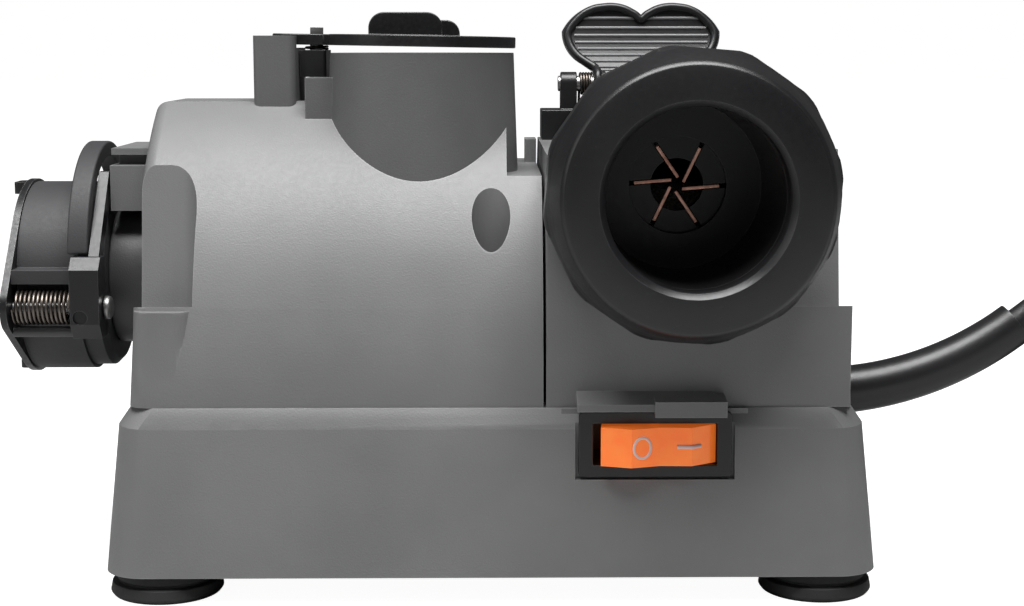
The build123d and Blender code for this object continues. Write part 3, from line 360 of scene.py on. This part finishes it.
MATERIALS = {
    "grey": plastic("grey_plastic", (0.152, 0.153, 0.153), (0.174, 0.175, 0.175),
                    (0.34, 0.34, 0.345), 0.47, 0.33 * MM, 0.045 * MM, wear=0.45, specks=0.05),
    "turret": plastic("turret_plastic", (0.104, 0.105, 0.105), (0.120, 0.121, 0.121),
                      (0.30, 0.30, 0.305), 0.47, 0.33 * MM, 0.045 * MM, wear=0.4, specks=0.05),
    "dark": plastic("dark_plastic", (0.050, 0.050, 0.052), (0.064, 0.064, 0.066),
                    (0.20, 0.20, 0.205), 0.44, 0.33 * MM, 0.035 * MM, wear=0.45, specks=0.06),
    "matt": plastic("matt_dark_plastic", (0.028, 0.028, 0.030), (0.038, 0.038, 0.040),
                    (0.12, 0.12, 0.125), 0.60, 0.33 * MM, 0.030 * MM, wear=0.35),
    "black": plastic("black_plastic", (0.007, 0.007, 0.008), (0.012, 0.012, 0.013),
                     (0.10, 0.10, 0.105), 0.34, 0.22 * MM, 0.014 * MM, wear=0.5, specks=0.05),
    "rubber": plastic("foot_rubber", (0.011, 0.011, 0.011), (0.018, 0.018, 0.018),
                      (0.07, 0.07, 0.07), 0.70, 0.45 * MM, 0.030 * MM, wear=0.4, specks=0.10),
    "belt": plastic("belt_rubber", (0.012, 0.012, 0.012), (0.020, 0.020, 0.020),
                    (0.07, 0.07, 0.07), 0.78, 0.5 * MM, 0.04 * MM, wear=0.4),
    # painted glint: the heart's ribs are a pale grey, far lighter than the black heart, to stand
    # in for the light they catch
    "heart": plastic("heart_rib_painted_glint", (0.150, 0.150, 0.154), (0.185, 0.185, 0.190),
                     (0.25, 0.25, 0.255), 0.36, 0.3 * MM, 0.012 * MM, wear=0.4),
    "orange": orange_with_painted_glow("orange_plastic"),
    "ink": plastic("symbol_ink", (0.80, 0.56, 0.52), (0.86, 0.64, 0.60), (0.9, 0.8, 0.78),
                   0.55, 0.2 * MM, 0.006 * MM, wear=0.2),
    "sheet": coated_sheet("black_sheet", (0.008, 0.008, 0.009), (0.28, 0.275, 0.27), 0.34),
    "steel": metal("turned_steel", (0.30, 0.295, 0.29), (0.50, 0.495, 0.49), 0.34,
                   stretch=(12, 1, 1)),
    "screw": metal("zinc_screw", (0.24, 0.24, 0.235), (0.42, 0.42, 0.41), 0.38),
    "spring": metal("spring_wire", (0.075, 0.062, 0.052), (0.20, 0.175, 0.155), 0.34),
    "nickel": metal("nickel_plate", (0.55, 0.54, 0.51), (0.78, 0.77, 0.74), 0.16),
    "copper": metal("copper_strip", (0.52, 0.26, 0.19), (0.80, 0.46, 0.36), 0.34,
                    stretch=(3, 1, 3), depth=0.006 * MM),
    "brass": metal("stamped_brass", (0.55, 0.40, 0.16), (0.78, 0.62, 0.30), 0.30),
    "aluminium": metal("turned_aluminium", (0.50, 0.50, 0.51), (0.74, 0.74, 0.75), 0.30,
                       stretch=(1, 8, 8)),
    "magnet": plastic("ferrite", (0.03, 0.03, 0.033), (0.05, 0.05, 0.055), (0.14, 0.14, 0.15),
                      0.6, 0.6 * MM, 0.05 * MM),
    "grit": grit("bonded_grit", (0.17, 0.145, 0.13), (0.55, 0.49, 0.45)),
    "cord": soft_cord("cord_pvc", (0.007, 0.007, 0.008), (0.020, 0.020, 0.021), 0.46),
}
SLOT_LOOKS = {
    "grey_plastic": "grey", "dark_plastic": "dark", "black_plastic": "black",
    "black_metal": "sheet", "orange_plastic": "orange", "rubber": "rubber",
    "belt_rubber": "belt", "cord_plastic": "cord", "steel": "steel",
    "spring_steel": "spring", "bright_steel": "nickel", "copper_plate": "copper",
    "brass": "brass", "aluminium": "aluminium", "grit": "grit", "magnet": "magnet",
}
NODE_SLOT = {entry["node"]: entry["material_slot"] for entry in frame["record"]["subparts"]}
NODE_BODY = {}
for body_name, members in frame["record"]["behaviour"]["bodies"].items():
    for member in members:
        NODE_BODY[member] = body_name


def wear_material(piece, look):
    """Give a piece one of the MATERIALS and no other."""
    piece.data.materials.clear()
    piece.data.materials.append(MATERIALS[look])


def stand_for(piece, node, look=None):
    """A piece takes a CAD node's place and body, and the material of the node's slot."""
    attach(piece, NODE_BODY[node])
    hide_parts(node)
    wear_material(piece, look or SLOT_LOOKS[NODE_SLOT[node]])
    return piece


def add_to(piece, node, look=None):
    """A small extra piece that rides with a CAD node."""
    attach(piece, NODE_BODY[node])
    wear_material(piece, look or SLOT_LOOKS[NODE_SLOT[node]])


# ---- mesh helpers --------------------------------------------------------------------------
SHADED_SHARP = math.radians(32)     # edges sharper than this stay sharp in shading
CUT_SHARP = math.radians(28)        # edges sharper than this are rounded
COPLANAR = math.radians(0.06)       # faces closer in direction than this are merged first
WELD = 0.002 * MM
WIRE_ROUNDNESS = 4                  # Blender's bevel resolution for a wire's round section
WIRE_STEPS = 6                      # facets along a wire between two control points
POINTS_PER_TURN = 14                # control points in each turn of a helix
RAY_START = -0.09                   # in front of every part of the machine


def new_piece(name, work):
    """An object from a bmesh, smooth except across its sharp edges."""
    mesh = bpy.data.meshes.new(name)
    work.to_mesh(mesh)
    work.free()
    for polygon in mesh.polygons:
        polygon.use_smooth = True
    mesh.set_sharp_from_angle(angle=SHADED_SHARP)
    piece = bpy.data.objects.new(name, mesh)
    bpy.context.scene.collection.objects.link(piece)
    return piece


def rounded_copy(node, width, segments=2):
    """A CAD node's shape with its sharp edges rounded, as a new piece."""
    work = bmesh.new()
    work.from_mesh(frame["nodes"][node].data)
    bmesh.ops.remove_doubles(work, verts=work.verts, dist=WELD)
    bmesh.ops.dissolve_limit(work, angle_limit=COPLANAR, verts=work.verts, edges=work.edges,
                             delimit={"NORMAL"})
    sharp = [edge for edge in work.edges
             if len(edge.link_faces) == 2 and edge.calc_face_angle(0.0) > CUT_SHARP]
    bmesh.ops.bevel(work, geom=sharp, offset=width, offset_type="OFFSET", segments=segments,
                    profile=0.5, affect="EDGES", clamp_overlap=True)
    piece = new_piece(f"{node}_rounded", work)
    flatten = piece.modifiers.new("flat_faces", "WEIGHTED_NORMAL")
    flatten.keep_sharp = True
    return piece


def lathe(name, centre, axis, side, profile, steps, shape):
    """A piece turned round an axis from a closed profile of (distance along it, radius).

    shape(along, radius, turn) gives the radius that a point of the profile really has there.
    """
    axis = Vector(axis).normalized()
    side = Vector(side).normalized()
    across = axis.cross(side)
    work = bmesh.new()
    rings = []
    for along, radius in profile:
        ring = []
        for step in range(steps):
            turn = 2 * math.pi * step / steps
            reach = shape(along, radius, turn)
            outward = side * math.cos(turn) + across * math.sin(turn)
            ring.append(work.verts.new(centre + axis * along + outward * reach))
        rings.append(ring)
    for first, second in zip(rings, rings[1:] + rings[:1]):
        for step in range(steps):
            after = (step + 1) % steps
            work.faces.new((first[step], first[after], second[after], second[step]))
    bmesh.ops.recalc_face_normals(work, faces=work.faces)
    return new_piece(name, work)


def wire(name, points, radius, closed=False, order=3):
    """A wire along control points: smooth, or straight between them with order 2.

    The radius is set on the points, which keeps Blender's box of the curve tight.
    """
    curve = bpy.data.curves.new(name, "CURVE")
    curve.dimensions = "3D"
    curve.bevel_depth = 1.0
    curve.bevel_resolution = WIRE_ROUNDNESS
    curve.resolution_u = WIRE_STEPS
    curve.use_fill_caps = True
    spline = curve.splines.new("NURBS")
    spline.points.add(len(points) - 1)
    for target, place in zip(spline.points, points):
        target.co = (*place, 1.0)
        target.radius = radius
    spline.order_u = order
    spline.use_cyclic_u = closed
    spline.use_endpoint_u = not closed
    piece = bpy.data.objects.new(name, curve)
    bpy.context.scene.collection.objects.link(piece)
    return piece


def helix_points(centre, axis, side, radius, start, length, turns):
    """Points of an even helix that begins at start along an axis, in the direction of side."""
    axis = Vector(axis).normalized()
    side = Vector(side).normalized()
    across = axis.cross(side)
    count = int(turns * POINTS_PER_TURN)
    points = []
    for step in range(count + 1):
        share = step / count
        turn = 2 * math.pi * turns * share
        along = start + length * share
        outward = side * math.cos(turn) + across * math.sin(turn)
        points.append(centre + axis * along + outward * radius)
    return points


def front_of(node):
    """A function that finds a node's front surface at x and z, or None beside the node."""
    source = bmesh.new()
    source.from_mesh(frame["nodes"][node].data)
    tree = BVHTree.FromBMesh(source)
    source.free()

    def find(x, z):
        start = Vector((BASE_X + x, RAY_START, z))
        return tree.ray_cast(start, Vector((0, 1, 0)))[0]

    return find


# ---- mains lead ----------------------------------------------------------------------------
CORD_RADIUS = 0.0033
LEAD_STEPS = 8                  # facets along the lead between two control points
SLEEVE_TIP = (0.12269, 0.007, 0.04891)
LEAD_ROUTE = [                  # chosen, as in the part's source
    SLEEVE_TIP,
    (0.13845, 0.007, 0.06122),
    (0.1565, 0.005, 0.0666),
    (0.176, 0.0015, 0.0642),
    (0.194, 0.0, 0.0546),
    (0.2085, 0.0045, 0.0404),
    (0.219, 0.0145, 0.026),
    (0.2255, 0.0275, 0.0138),
    (0.2286, 0.0415, 0.0062),
    (0.229, 0.056, 0.0034),
]
COIL_CENTRE = (0.191, 0.055)
COIL_MIDDLE = 0.038             # mean radius of the coil
PITCH = 2 * CORD_RADIUS
COIL_PLACES = [(0.5, 0.5), (-0.5, 0.5), (-0.5, 1.5), (0.5, 1.5), (0.5, 2.5), (-0.5, 2.5),
               (-0.5, 3.5), (0.5, 3.5), (0.5, 4.1)]     # outwards and up, in pitches
FIRST_SHIFT = 290               # degrees round the coil where the lead first changes its place
SHIFT_WINDOW = 80               # degrees that one change of place takes
SETTLING = 60                   # degrees over which the lead swings out to its first place
COIL_END = 2360                 # degrees round the coil where the last turn ends
COIL_STEPS = 20                 # control points in each turn


def on_coil(angle, radius, height):
    """A place on a circle round the coil's centre, at an angle in degrees."""
    turn = math.radians(angle)
    return (COIL_CENTRE[0] + radius * math.cos(turn), COIL_CENTRE[1] + radius * math.sin(turn),
            height)


def ease(share):
    """0 to 1 for a share of 0 to 1, setting off and arriving gently."""
    return 2 * share * share if share < 0.5 else 1 - 2 * (1 - share) ** 2


def place_in_coil(angle):
    """How far outwards and up the lead lies after an angle of winding, in pitches."""
    moved = 0.0
    for shift in range(len(COIL_PLACES) - 1):
        start = FIRST_SHIFT + shift * (360 - SHIFT_WINDOW)
        moved += ease(min(1.0, max(0.0, (angle - start) / SHIFT_WINDOW)))
    index = min(int(moved), len(COIL_PLACES) - 2)
    part = moved - index
    low, high = COIL_PLACES[index], COIL_PLACES[index + 1]
    side = low[0] + (high[0] - low[0]) * part
    layer = low[1] + (high[1] - low[1]) * part
    return side * min(1.0, angle / SETTLING), layer


def coil_points():
    """The put-away turns: eight places in four layers of two, then a rise to the tail."""
    step = 360 / COIL_STEPS
    swell = 1 / math.cos(math.pi / COIL_STEPS)      # the curve runs inside its control points
    points = []
    for number in range(1, int(COIL_END / step) + 1):
        angle = number * step
        side, layer = place_in_coil(angle)
        points.append(on_coil(angle, (COIL_MIDDLE + side * PITCH) * swell, layer * PITCH))
    return points


COIL_TOP = 4 * PITCH            # the top of the four layers
TAIL_START = -130               # degrees round the coil
TAIL_ROUTE = [                  # chosen, as in the part's source
    on_coil(TAIL_START, COIL_MIDDLE, COIL_TOP + 0.0006),
    (0.180, 0.0192, COIL_TOP + 0.0020),
    (0.195, 0.0185, COIL_TOP + 0.0034),
    (0.209, 0.0239, COIL_TOP + 0.0050),
    (0.2196, 0.0345, COIL_TOP + 0.0064),
    (0.225, 0.0485, COIL_TOP + 0.0070),
]


def make_cord():
    """The whole lead as one wire: to the coil, round it, and on to the plug."""
    route = LEAD_ROUTE + coil_points() + TAIL_ROUTE
    piece = wire("mains_lead", [spot(*point) for point in route], CORD_RADIUS)
    piece.data.resolution_u = LEAD_STEPS
    stand_for(piece, "cord")
    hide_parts("cord_coil", "cord_tail")
    return piece


def make_plug():
    """The moulded plug, its two pins and the coil's tie, with softened edges."""
    sizes = {"plug_body": (0.9, 3), "plug_pins": (0.7, 3), "cord_tie": (0.5, 2)}
    return [stand_for(rounded_copy(node, width * MM, segments), node)
            for node, (width, segments) in sizes.items()]


def make_sleeve():
    """The curved bend protector, smooth up to its rounded free end."""
    return [stand_for(rounded_copy("cord_sleeve", 1.2 * MM, 4), "cord_sleeve")]


# ---- drill chuck ---------------------------------------------------------------------------
CHUCK = spot(0.0395, 0.0, 0.0838)
JAW_COUNT = 6
RING_STEPS = 360
BAND_BACK = -0.0507             # where the band with the flats ends, along the chuck's axis
BAND_FRONT = -0.0592
BAND_RADIUS = 29.5 * MM
PAD_COUNT = 12
PAD_HALF = math.radians(12.6)   # half of the angle that one flat takes up
PAD_PHASE = math.radians(4.6)   # where the middle of the first flat lies


def pad_shape(along, radius, turn):
    """Long flats with narrow lands between them round the ring's band."""
    spacing = 2 * math.pi / PAD_COUNT
    local = (turn - PAD_PHASE + spacing / 2) % spacing - spacing / 2
    on_band = BAND_FRONT <= along <= BAND_BACK
    if not on_band or abs(local) > PAD_HALF:
        return radius
    flat = BAND_RADIUS * math.cos(PAD_HALF) / math.cos(local)
    return min(radius, flat)


def make_chuck_ring():
    """The grip ring: a turned shell with its rims and grooves, and flats round its band.

    The outline, in millimetres along the axis and outwards, runs from the bore's front rim over
    the face and the band to the back, and through the bore to its start.
    """
    outline = [(-68.0, 19.0), (-68.0, 19.2), (-68.0, 25.4), (-67.85, 25.75), (-67.2, 26.3),
               (-66.9, 26.5), (-61.0, 28.1), (-60.4, 28.35), (-59.4, 28.75), (-59.0, 28.9),
               (-58.4, 29.35), (-57.6, 29.5), (-52.3, 29.5), (-51.4, 29.4), (-51.1, 28.2),
               (-50.9, 27.3), (-50.5, 27.3), (-50.3, 28.5), (-49.2, 28.6), (-48.7, 28.5),
               (-48.5, 28.2), (-48.5, 22.0), (-61.6, 22.0), (-61.6, 17.8), (-66.8, 17.8),
               (-67.0, 17.9)]
    profile = [(along * MM, radius * MM) for along, radius in outline]
    ring = lathe("chuck_ring_detail", CHUCK, (0, 1, 0), (1, 0, 0), profile, RING_STEPS,
                 pad_shape)
    stand_for(ring, "chuck_ring")


def make_chuck():
    """The grip ring, the body behind it, and the jaws in their slotted plate."""
    make_chuck_ring()
    stand_for(rounded_copy("chuck_body", 0.3 * MM), "chuck_body")
    stand_for(rounded_copy("jaw_plate", 0.12 * MM), "jaw_plate", "black")
    for number in range(1, JAW_COUNT + 1):
        stand_for(rounded_copy(f"jaw_{number}", 0.12 * MM), f"jaw_{number}")


# ---- heart-shaped paddle -------------------------------------------------------------------
PADDLE_X = 0.0355
PADDLE_MIDDLE = 0.1128          # height of the middle that the rim is found from
RIM_STEPS = 72
RIM_RADIUS = 0.95 * MM
RIM_INSET = 0.0011              # from the last place found on the heart to the rim's centre
RIM_LIFT = Vector((0, -0.15 * MM, 0.1 * MM))
FIRST_REACH = 0.001
LAST_REACH = 0.03
SEARCH_STEP = 0.0002
RIB_COUNT = 12
RIB_RADIUS = 0.42 * MM
RIB_TOP = 0.1195
RIB_FALL = 0.0165               # from the top rib to the lowest
RIB_SPACING = 0.82              # exponent below 1: ribs lie closer together lower down
RIB_SUNK = Vector((0, 0.12 * MM, 0))
RIB_REACH = 90                  # search steps to each side of the middle
RIB_THINNING = 6                # one control point is kept out of this many
RIB_SHORTEST = 12               # a rib with no more places than this is left out
CLEAR_BESIDE = 0.0026           # the heart has to go on this far past a rib's place
CLEAR_ABOVE = 0.0016
HINGE = spot(PADDLE_X, 0.017, 0.1043)


def on_heart(front, turn, reach):
    """The heart's surface at a reach from its middle, or None outside its outline."""
    return front(PADDLE_X + reach * math.cos(turn), PADDLE_MIDDLE + reach * math.sin(turn))


def make_paddle_rim(front):
    """The rounded rim that follows the heart's outline just inside its edge."""
    rim = []
    for step in range(RIM_STEPS):
        turn = 2 * math.pi * step / RIM_STEPS
        reach = FIRST_REACH
        while on_heart(front, turn, reach + SEARCH_STEP) and reach < LAST_REACH:
            reach += SEARCH_STEP
        rim.append(on_heart(front, turn, reach - RIM_INSET) + RIM_LIFT)
    add_to(wire("paddle_rim", rim, RIM_RADIUS, closed=True), "heart_paddle")


def make_paddle_rib(front, number):
    """One level rib across the heart, from rim to rim."""
    share = (number - 1) / (RIB_COUNT - 1)
    height = RIB_TOP - RIB_FALL * share ** RIB_SPACING
    row = []
    for step in range(-RIB_REACH, RIB_REACH + 1):
        x = PADDLE_X + step * SEARCH_STEP
        place = front(x, height)
        beside = front(x + math.copysign(CLEAR_BESIDE, step), height)
        above = front(x, height + CLEAR_ABOVE)
        if place is not None and beside is not None and above is not None:
            row.append(place + RIB_SUNK)
    if len(row) > RIB_SHORTEST:
        rib = wire(f"paddle_rib_{number}", row[::RIB_THINNING] + row[-1:], RIB_RADIUS)
        # the rib wears the pale rib material, a painted glint on the black heart
        add_to(rib, "heart_paddle", "heart")


def make_paddle():
    """The heart-shaped plate with its rim and ribs."""
    stand_for(rounded_copy("heart_paddle", 0.5 * MM, 3), "heart_paddle")
    front = front_of("heart_paddle")
    make_paddle_rim(front)
    for number in range(1, RIB_COUNT + 1):
        make_paddle_rib(front, number)


def make_paddle_springs():
    """A torsion spring on each side of the paddle's hub, with one leg down behind it."""
    for side, name in ((-1, "left"), (1, "right")):
        points = helix_points(HINGE, (side, 0, 0), (0, 0, 1), radius=2.4 * MM,
                              start=11.9 * MM, length=2.9 * MM, turns=4.5)
        leg = points[-1] + Vector((0, 3.4 * MM, -5.2 * MM))
        coil = wire(f"paddle_spring_{name}", points + [leg], 0.32 * MM)
        if side < 0:
            stand_for(coil, "paddle_spring")
        else:
            add_to(coil, "paddle_spring")


# ---- knife jig -----------------------------------------------------------------------------
CLAMP_AXIS = spot(0.0, -0.0288, 0.058)
JIG_ROUNDING = {                # millimetres
    "jig_hub": 0.5, "jig_drum": 0.35, "guard_ring": 0.5, "jig_end_plate": 0.25,
    "clamp_arm": 0.6, "clamp_screw": 0.3, "tie_rod": 0.2,
}
JIG_LOOKS = {"clamp_screw": "screw", "tie_rod": "dark", "jig_drum": "matt", "guard_ring": "matt"}


def make_jig():
    """The knife jig's parts, and the coil spring of its clamp with a hook at one end."""
    for node, width in JIG_ROUNDING.items():
        stand_for(rounded_copy(node, width * MM, 3), node, JIG_LOOKS.get(node))
    points = helix_points(CLAMP_AXIS, (1, 0, 0), (0, -1, 0), radius=3.4 * MM,
                          start=-0.1009, length=11.9 * MM, turns=13)
    hook = [points[-1] + Vector((0.5, 0, 2.5)) * MM, points[-1] + Vector((1.2, 0.6, 5)) * MM]
    stand_for(wire("clamp_spring_coil", points + hook, 0.36 * MM), "clamp_spring")


# ---- switch --------------------------------------------------------------------------------
SWITCH_X = 0.0332
SWITCH_Z = 0.033
CIRCLE_X = SWITCH_X - 0.0029
CIRCLE_WIDE = 1.75 * MM         # half of its width, and half of its height
CIRCLE_HIGH = 2.1 * MM
CIRCLE_STEPS = 28
CIRCLE_LINE = 0.32 * MM
CIRCLE_SUNK = Vector((0, 0.08 * MM, 0))
BAR_X = SWITCH_X + 0.0066
BAR_STEP = 0.6 * MM
BAR_STEPS = 4                   # to each side of the bar's middle
BAR_LINE = 0.45 * MM


def make_switch():
    """The bezel and the rocker, with a circle and a bar printed on the rocker."""
    stand_for(rounded_copy("switch_frame", 0.4 * MM, 3), "switch_frame")
    stand_for(rounded_copy("switch_rocker", 0.5 * MM, 3), "switch_rocker")
    front = front_of("switch_rocker")
    circle = []
    for step in range(CIRCLE_STEPS):
        turn = 2 * math.pi * step / CIRCLE_STEPS
        place = front(CIRCLE_X + CIRCLE_WIDE * math.cos(turn),
                      SWITCH_Z + CIRCLE_HIGH * math.sin(turn))
        circle.append(place + CIRCLE_SUNK)
    bar = [front(BAR_X + step * BAR_STEP, SWITCH_Z) for step in range(-BAR_STEPS, BAR_STEPS + 1)]
    add_to(wire("rocker_circle", circle, CIRCLE_LINE, closed=True), "switch_rocker", "ink")
    add_to(wire("rocker_bar", bar, BAR_LINE, order=2), "switch_rocker", "ink")


# ---- shells, turret and the rest -----------------------------------------------------------
SHELL_ROUNDING = {              # millimetres
    "base_shell": 0.55, "bottom_cover": 0.4, "left_housing": 0.5, "drill_tower": 0.5,
    "turret": 0.5, "lid_bracket": 0.4, "turret_lid": 0.3, "lid_pin": 0.2,
    "paddle_bracket": 0.5, "paddle_pin": 0.25, "rubber_feet": 0.3, "housing_screws": 0.25,
    "foot_screws": 0.2,
}
SHELL_LOOKS = {"foot_screws": "screw", "housing_screws": "screw", "turret": "turret"}
DARK_LEFT = -0.053              # the stretch of the left housing that is darker
DARK_RIGHT = -0.030
DARK_ABOVE = 0.1015
DARK_SIDES_ABOVE = 0.098
UPRIGHT = 0.5                   # a face is upright when its normal rises less than this


def darken_lid_post(housing):
    """The post and the boss that carry the lid are moulded in the turret's darker plastic."""
    housing.data.materials.append(MATERIALS["turret"])
    middle = spot(0, 0, 0)
    for polygon in housing.data.polygons:
        place = polygon.center - middle
        upright = abs(polygon.normal.z) < UPRIGHT
        lowest = DARK_SIDES_ABOVE if upright else DARK_ABOVE
        if DARK_LEFT < place.x < DARK_RIGHT and place.z > lowest:
            polygon.material_index = 1


def make_shells():
    """The housings and what is fixed to them."""
    for node, width in SHELL_ROUNDING.items():
        piece = stand_for(rounded_copy(node, width * MM, 3), node, SHELL_LOOKS.get(node))
        if node == "left_housing":
            darken_lid_post(piece)


def make_lid_spring():
    """The single turn of spring wire under the lid's hub."""
    points = helix_points(spot(-0.039, 0.0, 0.1121), (0, 0, 1), (1, 0, 0), radius=2.4 * MM,
                          start=0.25 * MM, length=0.5 * MM, turns=1)
    stand_for(wire("lid_spring_coil", points, 0.3 * MM), "lid_spring")


def dress_other_nodes():
    """Every CAD node that no piece stands for gets its slot's material."""
    for node, piece in frame["nodes"].items():
        if not piece.hide_render:
            wear_material(piece, SLOT_LOOKS[NODE_SLOT[node]])


make_camera()
make_studio()
make_cord()
make_plug() + make_sleeve()
make_shells()
make_lid_spring()
make_chuck()
make_paddle()
make_paddle_springs()
make_jig()
make_switch()
dress_other_nodes()
